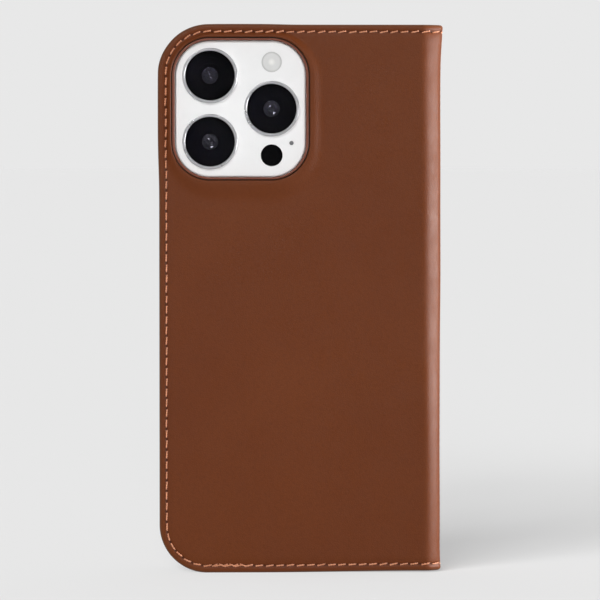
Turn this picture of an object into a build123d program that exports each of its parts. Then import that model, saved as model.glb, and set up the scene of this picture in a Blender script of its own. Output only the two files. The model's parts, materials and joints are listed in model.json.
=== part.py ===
from build123d import *
import math
import os

# A folio wallet case for a large phone, closed and standing on its bottom edges.
# The rear panel with the camera window faces -Y, the front cover with the card pockets is at +Y,
# and the spine that joins them is at +X, so the covers' free edges are at -X. +Z is up.
# The origin is the middle of the base. All sizes are in millimetres.
#
# One sheet of leather, one of reinforcement board and one of lining run round from the rear panel over
# the spine to the front cover. They bend at two creases, in the middle of the spine's two rounded corners,
# and each sheet is cut into three solids there. A hard shell on the rear panel holds the phone.

# ---------------------------------------------------------------- driving sizes
PHONE_W, PHONE_H, PHONE_T, PHONE_CORNER = 77.6, 163.0, 8.25, 14.0
CASE_W, CASE_H, CASE_CORNER, SPINE_R = 86.6, 169.0, 14.8, 7.0

LEATHER_T, BOARD_T, LINING_T = 1.2, 0.6, 0.5
WRAP_T = LEATHER_T + BOARD_T + LINING_T
INNER_INSET = 0.25  # the board and the lining stop this far inside the leather's edge

SHELL_BACK_T, SUEDE_T, SHELL_WALL_T = 1.2, 0.4, 1.45
LIP_T, LIP_REACH, LIP_PLAY = 0.7, 1.0, 0.05
SHELL_BACK_R = 2.3  # rounds the shell's back edge, to clear the lining where it turns into the spine
FIT = 0.15  # all round, between phone and shell
FREE_EDGE_TO_PHONE = 2.6

CASH_GAP, CASH_T, CARD_GAP, CARD_T, CARD_POCKETS = 0.25, 0.55, 0.2, 0.5, 3
LIP_TO_POCKETS = 0.9
POCKETS_T = CASH_GAP + CASH_T + CARD_POCKETS * (CARD_GAP + CARD_T)

MOUND_H = 0.8  # rise of the leather round the camera window
CREASE_GAP_DEG = 0.7  # half of the cut at each crease
CREASE_OUT = 0.15  # the crease axis is this far outside the leather

# ---------------------------------------------------------------- depths, along Y
FLAT_T = (
    2 * WRAP_T + SHELL_BACK_T + SUEDE_T + PHONE_T + LIP_PLAY + LIP_T + LIP_TO_POCKETS + POCKETS_T
)
Y_FRONT = (FLAT_T + MOUND_H) / 2
Y_REAR = Y_FRONT - FLAT_T
Y_CREST = Y_REAR - MOUND_H
Y_SHELL = Y_REAR + WRAP_T
Y_SUEDE = Y_SHELL + SHELL_BACK_T
Y_PHONE_BACK = Y_SUEDE + SUEDE_T
Y_PHONE_FRONT = Y_PHONE_BACK + PHONE_T
Y_LIP = Y_PHONE_FRONT + LIP_PLAY + LIP_T
Y_COVER_INSIDE = Y_FRONT - WRAP_T
Y_PHONE_MID = (Y_PHONE_BACK + Y_PHONE_FRONT) / 2

# ---------------------------------------------------------------- places, along X and Z
X_FREE, X_SPINE = -CASE_W / 2, CASE_W / 2
X_FLAT = X_SPINE - SPINE_R  # the covers are flat from the free edge to here
PHONE_X = X_FREE + FREE_EDGE_TO_PHONE + PHONE_W / 2
PHONE_Z = CASE_H / 2
REAR_ARC, FRONT_ARC = (X_FLAT, Y_REAR + SPINE_R), (X_FLAT, Y_FRONT - SPINE_R)
FLAT_RUN = X_FLAT - X_FREE
QUARTER_TURN = SPINE_R * math.pi / 2
SPINE_RUN = FLAT_T - 2 * SPINE_R
SHEET_L = 2 * FLAT_RUN + 2 * QUARTER_TURN + SPINE_RUN  # the leather sheet, laid flat

# ---------------------------------------------------------------- camera
CAMERA_X, CAMERA_Z = -18.25, 143.15
PLATEAU_W, PLATEAU_H, PLATEAU_R, PLATEAU_T = 40.0, 41.8, 10.6, 2.4
BEZEL_IN_W, BEZEL_IN_H, BEZEL_IN_R = 40.4, 42.1, 10.8
BEZEL_W, BEZEL_H, BEZEL_R, BEZEL_RECESS = 42.0, 43.4, 11.6, 0.35
WINDOW_W, WINDOW_H, WINDOW_R = 42.6, 44.0, 11.9
LENSES = {"upper": (-9.4, 10.2), "lower": (-9.4, -10.1), "side": (9.6, 0.05)}
LENS_RING_R, LENS_R, LENS_RISE = 8.5, 7.6, 1.6
LENS_COVER_T, LENS_COVER_DROP = 0.45, 0.15
FLASH_AT, FLASH_R = (9.6, 14.4), 3.1
SENSOR_AT, SENSOR_R = (9.6, -14.3), 3.35
MIC_AT, MIC_R = (15.7, -10.5), 0.65
WINDOW_DEPTH = 0.8  # of the flash and the sensor in the plateau

# ---------------------------------------------------------------- seam
SEAM_INSET, STITCH_PITCH = 2.2, 3.2
STITCH_L, STITCH_W, STITCH_T, GROOVE_W = 2.2, 0.5, 0.25, 0.64

# ---------------------------------------------------------------- card pockets
POCKET_LOW, POCKET_HIGH, POCKET_LEFT = 38.0, 131.0, -39.4
POCKET_EDGES = (24.0, 15.0, 6.0)  # open edges, from the deepest pocket to the top one
POCKET_STOPS = (-22.0, -31.0, -36.4)  # where a card's far edge stops
POCKET_SEAM, POCKET_CORNER = 3.0, 3.0
CASH_EDGE, CASH_SEAM, CASH_INSET = 32.0, 4.0, 0.3

# ---------------------------------------------------------------- buttons: side, height, length
BUTTONS = {
    "power": (-1, 112.0, 17.0),
    "action": (1, 134.0, 7.0),
    "volume_up": (1, 120.0, 10.5),
    "volume_down": (1, 105.5, 10.5),
}
CAP_W, CAP_PLAY, CAP_RISE = 3.2, 0.08, 0.4
FLANGE_T, FLANGE_REACH, FLANGE_POCKET = 0.3, 0.6, 0.55
KEY_W, KEY_RISE, KEY_ROOT, KEY_POCKET, KEY_PLAY = 2.4, 0.35, 0.45, 0.85, 0.08

# ---------------------------------------------------------------- phone
GLASS_T, FRAME_WALL, PLATE_EDGE = 0.7, 3.0, 0.5
PORT_W, PORT_H, PORT_DEPTH = 8.6, 2.8, 7.0
CUTOUT_W, CUTOUT_H, CUTOUT_R = 15.0, 5.8, 1.5
SPEAKER_W, SPEAKER_H, SPEAKER_X = 12.0, 2.2, 17.0

# ---------------------------------------------------------------- closure
MAGNET_L, MAGNET_W, MAGNET_X = 20.0, 5.0, -37.0
PLATE_L, PLATE_T, PLATE_FROM_BACK, PLATE_FROM_LIP = 20.0, 0.5, 1.3, 0.6
CLOSURE_Z = {"upper": 142.0, "lower": 40.0}

BEYOND = 20.0  # how far cutting tools reach past what they cut


def slab(face, y_low, y_high):
    """The solid of a face drawn in x and z, between two depths."""
    plane = Plane(origin=(0, y_high, 0), x_dir=(1, 0, 0), z_dir=(0, -1, 0))
    return extrude(plane * face, y_high - y_low)


def rounded(width, height, radius, x=0.0, z=0.0):
    return Pos(x, z) * RectangleRounded(width, height, radius)


def stadium(length, width, x, y, z, along_x):
    """A slot's face on the plane x, or z, its length along Z, or X."""
    if along_x:
        plane = Plane(origin=(x, y, z), x_dir=(1, 0, 0), z_dir=(0, 0, 1))
    else:
        plane = Plane(origin=(x, y, z), x_dir=(0, 0, 1), z_dir=(1, 0, 0))
    return plane * SlotOverall(length, width)


def save(name, shape):
    export_step(shape, f"parts/{name}.step")


# ---------------------------------------------------------------- the three sheets of the wrap
def cover_outline(inset):
    """Outline of a cover in x and z, rounded at the free edge and running out past the spine."""
    left, right = X_FREE + inset, X_SPINE + BEYOND
    face = Pos((left + right) / 2, CASE_H / 2) * Rectangle(right - left, CASE_H - 2 * inset)
    corners = face.vertices().sort_by(Axis.X)[:2]
    return fillet(corners, CASE_CORNER - inset)


def polar(centre, radius, degrees):
    angle = math.radians(degrees)
    return (centre[0] + radius * math.cos(angle), centre[1] + radius * math.sin(angle))


def arc(centre, radius, start, end):
    points = [polar(centre, radius, a) for a in (start, (start + end) / 2, end)]
    return ThreePointArc(*points)


def cover_profile(arc_centre, y_outer, way, top, bottom):
    """Section of a cover's sheet from the free edge to the crease. way is 1 at the rear and -1 in front."""
    crease = -way * (45 + CREASE_GAP_DEG)
    outer = arc(arc_centre, SPINE_R - top, -way * 90, crease)
    inner = arc(arc_centre, SPINE_R - bottom, crease, -way * 90)
    start, end = (X_FREE, y_outer + way * top), (X_FREE, y_outer + way * bottom)
    lines = [Line(start, outer @ 0), Line(outer @ 1, inner @ 0), Line(inner @ 1, end), Line(end, start)]
    return make_face([outer, inner] + lines)


def spine_profile(top, bottom):
    """Section of the spine's sheet from crease to crease."""
    rear, front = -45 + CREASE_GAP_DEG, 45 - CREASE_GAP_DEG
    outer = [arc(REAR_ARC, SPINE_R - top, rear, 0), arc(FRONT_ARC, SPINE_R - top, 0, front)]
    inner = [arc(FRONT_ARC, SPINE_R - bottom, front, 0), arc(REAR_ARC, SPINE_R - bottom, 0, rear)]
    run = outer + inner
    joins = [Line(run[i] @ 1, run[(i + 1) % 4] @ 0) for i in range(4)]
    return make_face(run + joins)


PROFILES = {
    "rear": lambda top, bottom: cover_profile(REAR_ARC, Y_REAR, 1, top, bottom),
    "spine": spine_profile,
    "front": lambda top, bottom: cover_profile(FRONT_ARC, Y_FRONT, -1, top, bottom),
}


def sheet(part, top, bottom, inset):
    """One sheet of the wrap on one part, between two depths below the leather's face."""
    tall = extrude(PROFILES[part](top, bottom), CASE_H)
    return tall & slab(cover_outline(inset), -BEYOND, BEYOND)


def groove(part):
    """The channel that the stitches lie in."""
    half = GROOVE_W / 2
    ring = cover_outline(SEAM_INSET - half) - cover_outline(SEAM_INSET + half)
    tall = extrude(PROFILES[part](-STITCH_T, STITCH_T), CASE_H)
    return tall & slab(ring, -BEYOND, BEYOND)


# ---------------------------------------------------------------- camera surround
def camera_prism(width, height, radius):
    return slab(rounded(width, height, radius, CAMERA_X, CAMERA_Z), -BEYOND, 0)


def mound(drop):
    """The raised pad round the camera window, wide towards the spine and the base, drop below the face."""
    left, right, low, high, foot_r, crest = 1.4, 6.0, 4.5, 1.6, 14.0, 0.5
    width, height = WINDOW_W + left + right, WINDOW_H + low + high
    foot = rounded(width, height, foot_r, CAMERA_X + (right - left) / 2, CAMERA_Z + (high - low) / 2)
    top = rounded(WINDOW_W + 2 * crest, WINDOW_H + 2 * crest, WINDOW_R + crest, CAMERA_X, CAMERA_Z)
    planes = [
        Plane(origin=(0, y + drop, 0), x_dir=(1, 0, 0), z_dir=(0, -1, 0)) for y in (Y_REAR, Y_CREST)
    ]
    return loft([planes[0] * foot, planes[1] * top])


def make_wrap():
    window = camera_prism(WINDOW_W, WINDOW_H, WINDOW_R)
    bezel_hole = camera_prism(BEZEL_W + 0.04, BEZEL_H + 0.04, BEZEL_R + 0.02)
    leather = {part: sheet(part, 0, LEATHER_T, 0) - groove(part) for part in PROFILES}
    leather["rear"] = (leather["rear"] + mound(0)) - mound(LEATHER_T) - window
    board = {part: sheet(part, LEATHER_T, LEATHER_T + BOARD_T, INNER_INSET) for part in PROFILES}
    lining = {part: sheet(part, LEATHER_T + BOARD_T, WRAP_T, INNER_INSET) for part in PROFILES}
    board["rear"] -= bezel_hole
    lining["rear"] -= bezel_hole
    board["front"] -= Part() + [magnet(z) for z in CLOSURE_Z.values()]
    for part in PROFILES:
        save(f"{part}_leather", leather[part])
        save(f"{part}_board", board[part])
        save(f"{part}_lining", lining[part])
    save("camera_spacer", mound(LEATHER_T) - bezel_hole)


def make_bezel():
    """The ring that lines the camera window from the shell's floor to just below the leather's crest."""
    y_top = Y_CREST + BEZEL_RECESS
    outer = slab(rounded(BEZEL_W, BEZEL_H, BEZEL_R, CAMERA_X, CAMERA_Z), y_top, Y_SUEDE)
    ring = outer - camera_prism(BEZEL_IN_W, BEZEL_IN_H, BEZEL_IN_R)
    rim = ring.edges().filter_by_position(Axis.Y, y_top - 0.01, y_top + 0.01)
    save("camera_bezel", fillet(rim, 0.22))


# ---------------------------------------------------------------- stitches
def wrap_frame(u):
    """Point and heading of the leather's face at u along the laid-flat sheet, from the rear free edge."""
    if u > SHEET_L / 2:
        x, y, heading = wrap_frame(SHEET_L - u)
        return x, Y_FRONT + Y_REAR - y, math.pi - heading
    if u <= FLAT_RUN:
        return X_FREE + u, Y_REAR, 0.0
    turned = min((u - FLAT_RUN) / SPINE_R, math.pi / 2)
    x, y = polar(REAR_ARC, SPINE_R, math.degrees(turned) - 90)
    return x, y + max(0.0, u - FLAT_RUN - QUARTER_TURN), turned


def seam_walk():
    """u, z and heading of each stitch on the seam round the laid-flat sheet, evenly spaced.

    Each quarter of the seam is a straight run and then a corner, starting along the base.
    """
    radius = CASE_CORNER - SEAM_INSET
    wide, tall = SHEET_L - 2 * CASE_CORNER, CASE_H - 2 * CASE_CORNER
    turn = radius * math.pi / 2
    loop = 2 * (wide + tall) + 4 * turn
    left, right, low, high = CASE_CORNER, SHEET_L - CASE_CORNER, CASE_CORNER, CASE_H - CASE_CORNER
    corners = [(left, low), (right, low), (right, high), (left, high)]
    count = round(loop / STITCH_PITCH)
    for i in range(count):
        s, quarter = i * loop / count, 0
        while s >= (wide, tall)[quarter % 2] + turn:
            s -= (wide, tall)[quarter % 2] + turn
            quarter += 1
        straight = (wide, tall)[quarter % 2]
        heading = quarter * math.pi / 2
        start = corners[quarter]
        if s > straight:
            start = corners[(quarter + 1) % 4]
            heading += (s - straight) / radius
            s = 0.0
        u = start[0] + s * math.cos(heading) + radius * math.sin(heading)
        z = start[1] + s * math.sin(heading) - radius * math.cos(heading)
        yield u, z, heading


def stitch_on_wrap(u, z, heading):
    x, y, turned = wrap_frame(u)
    along = Vector(math.cos(turned), math.sin(turned), 0)
    outward = Vector(math.sin(turned), -math.cos(turned), 0)
    tangent = along * math.cos(heading) + Vector(0, 0, 1) * math.sin(heading)
    centre = Vector(x, y, z) - outward * (STITCH_T / 2)
    return Plane(origin=centre, x_dir=tangent, z_dir=outward) * Box(STITCH_L, STITCH_W, STITCH_T)


def make_wrap_stitches():
    rear_crease = FLAT_RUN + QUARTER_TURN / 2
    front_crease = SHEET_L - rear_crease
    keep_clear = STITCH_L / 2 + 0.2
    groups = {"rear": [], "spine": [], "front": []}
    for u, z, heading in seam_walk():
        if min(abs(u - rear_crease), abs(u - front_crease)) < keep_clear:
            continue
        part = "rear" if u < rear_crease else "spine" if u < front_crease else "front"
        groups[part].append(stitch_on_wrap(u, z, heading).solid())
    for part, stitches in groups.items():
        save(f"{part}_stitches", Compound(stitches))


# ---------------------------------------------------------------- wallet
def pocket_outline(edge, inset=0.0, left=POCKET_LEFT):
    """Outline of a card pocket, its far corners rounded and its open edge straight."""
    low, high = POCKET_LOW + inset, POCKET_HIGH - inset
    face = Pos((left + edge) / 2, (low + high) / 2) * Rectangle(edge - left, high - low)
    return fillet(face.vertices().sort_by(Axis.X)[:2], POCKET_CORNER)


def cash_outline(inset, edge):
    beyond = Pos(edge + BEYOND, CASE_H / 2) * Rectangle(2 * BEYOND, 2 * CASE_H)
    return cover_outline(inset) - beyond


def make_wallet():
    """The cash pocket over the lining, then the card pockets. Each is a panel on a three-sided gusset."""
    y = Y_COVER_INSIDE - CASH_GAP
    save("cash_pocket", slab(cash_outline(CASH_INSET, CASH_EDGE), y - CASH_T, y))
    cash_room = cash_outline(CASH_INSET + CASH_SEAM, CASH_EDGE + 1)
    gusset = slab(cash_outline(CASH_INSET, CASH_EDGE) - cash_room, y, Y_COVER_INSIDE)
    save("cash_pocket_gusset", gusset)
    y -= CASH_T
    for number, edge, stop in zip(range(CARD_POCKETS, 0, -1), POCKET_EDGES, POCKET_STOPS):
        room = pocket_outline(edge + 1, POCKET_SEAM, stop)
        save(f"card_pocket_{number}_gusset", slab(pocket_outline(edge) - room, y - CARD_GAP, y))
        y -= CARD_GAP + CARD_T
        save(f"card_pocket_{number}", slab(pocket_outline(edge), y, y + CARD_T))


def pocket_face(x):
    """Depth of the face of the uppermost card pocket at x."""
    layers = sum(1 for edge in POCKET_EDGES if x < edge)
    return Y_COVER_INSIDE - CASH_GAP - CASH_T - layers * (CARD_GAP + CARD_T)


def make_pocket_stitches():
    """Stitches along the card pockets' two long seams and down their far edge."""
    half = POCKET_SEAM / 2
    stitches = []
    x = POCKET_LEFT + POCKET_CORNER + STITCH_L / 2
    while x < POCKET_EDGES[0] - STITCH_L / 2:
        if all(abs(x - edge) > STITCH_L / 2 + 0.1 for edge in POCKET_EDGES):
            for z in (POCKET_LOW + half, POCKET_HIGH - half):
                at = Pos(x, pocket_face(x) - STITCH_T / 2, z)
                stitches.append(at * Box(STITCH_L, STITCH_T, STITCH_W))
        x += STITCH_PITCH
    x = POCKET_LEFT + half
    z = POCKET_LOW + POCKET_CORNER + STITCH_L
    while z < POCKET_HIGH - POCKET_CORNER - STITCH_L / 2:
        at = Pos(x, pocket_face(x) - STITCH_T / 2, z)
        stitches.append(at * Box(STITCH_W, STITCH_T, STITCH_L))
        z += STITCH_PITCH
    save("pocket_stitches", Compound([stitch.solid() for stitch in stitches]))


def magnet(z):
    """A closure magnet, let into the front board."""
    top = Y_FRONT - LEATHER_T
    return slab(Pos(MAGNET_X, z) * Rectangle(MAGNET_W, MAGNET_L), top - BOARD_T, top)


# ---------------------------------------------------------------- shell
def phone_outline(grow):
    return rounded(PHONE_W + 2 * grow, PHONE_H + 2 * grow, PHONE_CORNER + grow, PHONE_X, PHONE_Z)


def side_block(side, z, length, width, depth_in, depth_out):
    """A slot-ended block through the phone's side, its depths measured outwards from the side's face."""
    face_x = PHONE_X + side * PHONE_W / 2
    low, high = sorted((face_x + side * depth_in, face_x + side * depth_out))
    return extrude(stadium(length, width, low, Y_PHONE_MID, z, False), high - low)


def closure_plate(z, from_back=PLATE_FROM_BACK):
    """A steel strip in the shell's free side wall, let in from the back and short of the lip."""
    x = PHONE_X - PHONE_W / 2 - FIT - SHELL_WALL_T / 2
    return slab(Pos(x, z) * Rectangle(PLATE_T, PLATE_L), Y_SHELL + from_back, Y_LIP - PLATE_FROM_LIP)


def make_shell():
    wall = FIT + SHELL_WALL_T
    shell = slab(phone_outline(wall), Y_SHELL, Y_LIP)
    for y, radius in ((Y_LIP, 0.65), (Y_SHELL, SHELL_BACK_R)):
        shell = fillet(shell.edges().filter_by_position(Axis.Y, y - 0.01, y + 0.01), radius)
    shell -= slab(phone_outline(FIT), Y_SUEDE, Y_PHONE_FRONT + LIP_PLAY)
    mouth = slab(phone_outline(-LIP_REACH), Y_PHONE_FRONT, Y_LIP + 1)
    shell -= mouth
    shell -= camera_prism(BEZEL_W + 0.04, BEZEL_H + 0.04, BEZEL_R + 0.02)
    port = RectangleRounded(CUTOUT_W, CUTOUT_H, CUTOUT_R)
    shell -= extrude(Pos(PHONE_X, Y_PHONE_MID, -1) * port, CASE_H - PHONE_H)
    for way in (-1, 1):
        speaker = stadium(SPEAKER_W, SPEAKER_H, PHONE_X + way * SPEAKER_X, Y_PHONE_MID, -1, True)
        shell -= extrude(speaker, CASE_H - PHONE_H)
    for side, z, length in BUTTONS.values():
        grow = 2 * CAP_PLAY
        shell -= side_block(side, z, length + grow, CAP_W + grow, 0, wall + 1)
        reach = 2 * (FLANGE_REACH + CAP_PLAY)
        shell -= side_block(side, z, length + reach, CAP_W + reach, -1, FIT + FLANGE_POCKET)
    for z in CLOSURE_Z.values():
        shell -= closure_plate(z, from_back=-1.0)
    save("phone_shell", shell)
    for name, z in CLOSURE_Z.items():
        save(f"closure_plate_{name}", closure_plate(z))
        save(f"cover_magnet_{name}", magnet(z))
    suede = slab(phone_outline(FIT - 0.05), Y_SUEDE, Y_PHONE_BACK)
    save("shell_suede", suede - camera_prism(BEZEL_IN_W, BEZEL_IN_H, BEZEL_IN_R))


def make_buttons():
    """Each cap with its inner flange, and the phone's own key that it pushes on."""
    wall = FIT + SHELL_WALL_T
    for name, (side, z, length) in BUTTONS.items():
        stem = side_block(side, z, length, CAP_W, KEY_RISE, wall + CAP_RISE)
        far_x = PHONE_X + side * (PHONE_W / 2 + wall + CAP_RISE)
        rim = stem.edges().filter_by_position(Axis.X, far_x - 0.01, far_x + 0.01)
        stem = fillet(rim, 0.25)
        reach = 2 * FLANGE_REACH
        flange = side_block(side, z, length + reach, CAP_W + reach, KEY_RISE, KEY_RISE + FLANGE_T)
        save(f"{name}_cap", stem + flange)
        save(f"phone_{name}_key", side_block(side, z, length - 1, KEY_W, -KEY_ROOT, KEY_RISE))


# ---------------------------------------------------------------- phone
def lens_post(at, radius, y_low, y_high):
    return slab(Pos(CAMERA_X + at[0], CAMERA_Z + at[1]) * Circle(radius), y_low, y_high)


def plate(y_low, y_high, rounded_y):
    """A glass plate of the phone, its outer edge rounded."""
    glass = slab(phone_outline(0), y_low, y_high)
    rim = glass.edges().filter_by_position(Axis.Y, rounded_y - 0.01, rounded_y + 0.01)
    return fillet(rim, PLATE_EDGE)


def height_band(z_low, z_high):
    return Pos(0, 0, (z_low + z_high) / 2) * Box(2 * CASE_W, CASE_W, z_high - z_low)


def make_phone_body():
    y_low, y_high = Y_PHONE_BACK + GLASS_T, Y_PHONE_FRONT - GLASS_T
    frame = slab(phone_outline(0), y_low, y_high) - slab(phone_outline(-FRAME_WALL), y_low, y_high)
    for side, z, length in BUTTONS.values():
        grow = 2 * KEY_PLAY
        frame -= side_block(side, z, length - 1 + grow, KEY_W + grow, -KEY_POCKET, 1)
    base_z = PHONE_Z - PHONE_H / 2
    port_face = stadium(PORT_W, PORT_H, PHONE_X, Y_PHONE_MID, base_z - 1, True)
    frame -= extrude(port_face, FRAME_WALL + 2)
    save("phone_frame", frame)
    save("phone_back_glass", plate(Y_PHONE_BACK, y_low, Y_PHONE_BACK) - lens_wells(Y_PHONE_BACK, y_low))
    save("phone_screen", plate(y_high, Y_PHONE_FRONT, Y_PHONE_FRONT))
    room = phone_outline(-FRAME_WALL - 0.1)
    split_z = CAMERA_Z - PLATEAU_H / 2 - 2
    battery_low = base_z + PORT_DEPTH + 0.1
    battery = slab(room, y_low, y_high) & height_band(battery_low, split_z)
    board = slab(room, y_low + 1.6, y_high) & height_band(split_z + 1, CASE_H)
    save("phone_battery", battery)
    save("phone_logic_board", board)
    sleeve = extrude(stadium(PORT_W, PORT_H, PHONE_X, Y_PHONE_MID, base_z, True), PORT_DEPTH)
    inside = stadium(PORT_W - 0.5, PORT_H - 0.5, PHONE_X, Y_PHONE_MID, base_z, True)
    hollow = extrude(inside, PORT_DEPTH - 0.6)
    tongue = Pos(PHONE_X, Y_PHONE_MID, base_z + PORT_DEPTH / 2) * Box(6.4, 0.7, PORT_DEPTH - 1.2)
    save("phone_charging_port", sleeve - hollow + tongue)


def lens_wells(y_low, y_high):
    return Part() + [lens_post(at, LENS_R + 0.02, y_low, y_high) for at in LENSES.values()]


def make_camera():
    y_top = Y_PHONE_BACK - PLATEAU_T
    plateau = slab(rounded(PLATEAU_W, PLATEAU_H, PLATEAU_R, CAMERA_X, CAMERA_Z), y_top, Y_PHONE_BACK)
    rim = plateau.edges().filter_by_position(Axis.Y, y_top - 0.01, y_top + 0.01)
    plateau = fillet(rim, 0.6)
    plateau -= lens_wells(y_top, Y_PHONE_BACK)
    for at, radius in ((FLASH_AT, FLASH_R), (SENSOR_AT, SENSOR_R), (MIC_AT, MIC_R)):
        plateau -= lens_post(at, radius + 0.03, y_top, y_top + WINDOW_DEPTH)
    save("camera_plateau", plateau)
    save("flash_lens", lens_post(FLASH_AT, FLASH_R, y_top, y_top + WINDOW_DEPTH))
    save("depth_sensor_window", lens_post(SENSOR_AT, SENSOR_R, y_top, y_top + WINDOW_DEPTH))
    save("microphone_mesh", lens_post(MIC_AT, MIC_R, y_top + 0.3, y_top + WINDOW_DEPTH))
    for name, at in LENSES.items():
        make_lens(name, at, y_top)


def make_lens(name, at, y_top):
    """Trim ring, cover glass, stepped barrel and front element of one lens."""
    y_ring = y_top - LENS_RISE
    y_cover = y_ring + LENS_COVER_DROP
    y_barrel = y_cover + LENS_COVER_T
    ring = lens_post(at, LENS_RING_R, y_ring, y_top) - lens_post(at, LENS_R + 0.02, y_ring, y_top)
    rim = ring.edges().filter_by_position(Axis.Y, y_ring - 0.01, y_ring + 0.01)
    save(f"{name}_lens_ring", fillet(rim, 0.2))
    save(f"{name}_lens_cover", lens_post(at, LENS_R, y_cover, y_barrel))
    barrel = lens_post(at, LENS_R, y_barrel, Y_PHONE_BACK + GLASS_T)
    for radius, depth in ((7.1, 0.5), (5.6, 1.1), (3.9, 1.8), (2.6, 3.2)):
        barrel -= lens_post(at, radius, y_barrel, y_barrel + depth)
    save(f"{name}_lens_barrel", barrel)
    element = lens_post(at, 2.55, y_barrel + 1.9, y_barrel + 3.2)
    rim = element.edges().filter_by_position(Axis.Y, y_barrel + 1.89, y_barrel + 1.91)
    save(f"{name}_lens_element", fillet(rim, 0.9))


os.makedirs("parts", exist_ok=True)
make_wrap()
make_bezel()
make_wrap_stitches()
make_wallet()
make_pocket_stitches()
make_shell()
make_buttons()
make_phone_body()
make_camera()
for crease, centre, degrees in (("spine_fold", REAR_ARC, -45), ("cover_fold", FRONT_ARC, 45)):
    print(crease, "axis in x and y:", polar(centre, SPINE_R + CREASE_OUT, degrees))
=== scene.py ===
import json
import math

import bmesh
import bpy
import numpy as np
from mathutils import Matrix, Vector
from mathutils.geometry import delaunay_2d_cdt

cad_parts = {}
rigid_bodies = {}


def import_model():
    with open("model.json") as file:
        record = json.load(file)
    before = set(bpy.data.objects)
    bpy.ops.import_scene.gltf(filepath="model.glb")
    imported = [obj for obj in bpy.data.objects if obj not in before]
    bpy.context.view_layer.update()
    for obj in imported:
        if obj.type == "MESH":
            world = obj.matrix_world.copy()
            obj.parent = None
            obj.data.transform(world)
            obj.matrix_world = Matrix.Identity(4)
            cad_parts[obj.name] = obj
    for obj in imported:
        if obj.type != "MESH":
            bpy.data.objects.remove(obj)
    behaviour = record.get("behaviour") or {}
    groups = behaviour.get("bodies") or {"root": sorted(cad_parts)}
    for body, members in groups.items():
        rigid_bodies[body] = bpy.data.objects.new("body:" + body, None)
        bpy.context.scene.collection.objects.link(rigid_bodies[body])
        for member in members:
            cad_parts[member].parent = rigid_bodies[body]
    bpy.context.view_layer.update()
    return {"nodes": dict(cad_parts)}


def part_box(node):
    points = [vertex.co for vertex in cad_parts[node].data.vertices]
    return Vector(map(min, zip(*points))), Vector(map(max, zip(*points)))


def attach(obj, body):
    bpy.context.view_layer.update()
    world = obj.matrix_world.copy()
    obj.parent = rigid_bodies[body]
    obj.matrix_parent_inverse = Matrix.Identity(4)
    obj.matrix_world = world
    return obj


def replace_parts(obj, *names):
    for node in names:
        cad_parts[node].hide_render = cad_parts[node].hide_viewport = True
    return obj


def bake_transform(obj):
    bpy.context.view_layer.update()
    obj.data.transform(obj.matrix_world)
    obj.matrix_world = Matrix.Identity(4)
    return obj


# Looks for a brown leather folio wallet case, closed on a phone and seen from the rear.
# Lengths are in millimetres until a mesh is made. The leather, board and lining are built on the laid-flat
# sheet: u runs from a cover's free edge round into the middle of the spine, z up, and n inwards from the
# leather's face. Each is two pieces that meet in the middle of the spine, one for each crease.

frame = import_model()
MM = 0.001


def low_high(node):
    low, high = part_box(node)
    return low / MM, high / MM


REAR_LOW, REAR_HIGH = low_high("rear_leather")
FRONT_HIGH = low_high("front_leather")[1]
SPINE_HIGH = low_high("spine_leather")[1]
BEZEL_LOW, BEZEL_HIGH = low_high("camera_bezel")
SCREEN_LOW, SCREEN_HIGH = low_high("phone_screen")

MOUND_H, SPINE_R, CASE_R = 0.8, 7.0, 14.8
LEATHER_T, BOARD_T, LINING_T = 1.2, 0.6, 0.5
WRAP_T = LEATHER_T + BOARD_T + LINING_T
INNER_INSET = 0.25
X_FREE, X_SPINE, TALL = REAR_LOW.x, SPINE_HIGH.x, REAR_HIGH.z
Y_REAR, Y_FRONT = REAR_LOW.y + MOUND_H, FRONT_HIGH.y
Y_MID = (Y_REAR + Y_FRONT) / 2
FLAT_RUN = X_SPINE - SPINE_R - X_FREE
QUARTER = SPINE_R * math.pi / 2
U_MID = FLAT_RUN + QUARTER + (Y_FRONT - Y_REAR) / 2 - SPINE_R

CAMERA = (BEZEL_LOW + BEZEL_HIGH) / 2
WINDOW_W, WINDOW_H, WINDOW_R = 42.6, 44.0, 11.9
WINDOW_U = CAMERA.x - X_FREE
# how far the camera pad's foot reaches past the window to the left, right, below and above, and its corners
PAD_REACH, PAD_R = (1.45, 4.1, 6.4, 1.7), 15.0

SEAM_INSET, STITCH_PITCH = 2.2, 3.2
SEAM_GROOVE, GROOVE_WIDTH = 0.17, 0.5

# how far the outline leaves the ideal one: the spine's edge all along, in its upper part, at its top and at
# its base, the base's lift at the spine, and the rim's bulge beside and above the camera
FLARE, FLARE_UPPER, FLARE_TOP, FLARE_BASE = 0.12, 0.15, 0.6, 0.25
BASE_LIFT, SIDE_BULGE, TOP_BULGE = 0.45, 0.4, 0.22
RIM_WIDTH = 3.6

# the wrap's fold at each edge of the spine, like a soft chamfer: how far it has turned at a distance along
# it, its size at the base, and what the middle and the top add to that
FOLD_S = np.linspace(0.0, 7.3, 147)
FOLD_TURN = np.radians(np.interp(FOLD_S, (0.0, 1.0, 2.2, 4.9, 7.3), (0, 21, 31, 41, 90)))
FOLD_STEP = FOLD_S[1] - FOLD_S[0]
FOLD_BASE, FOLD_MIDDLE, FOLD_TOP = 0.83, 0.17, 0.1
FOLD_X = np.concatenate([[0], np.cumsum(np.cos((FOLD_TURN[1:] + FOLD_TURN[:-1]) / 2))]) * FOLD_STEP
FOLD_Y = np.concatenate([[0], np.cumsum(np.sin((FOLD_TURN[1:] + FOLD_TURN[:-1]) / 2))]) * FOLD_STEP


# ---------------------------------------------------------------- placing points of the laid-flat sheet
def smooth(t):
    t = np.clip(t, 0, 1)
    return t * t * (3 - 2 * t)


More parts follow.
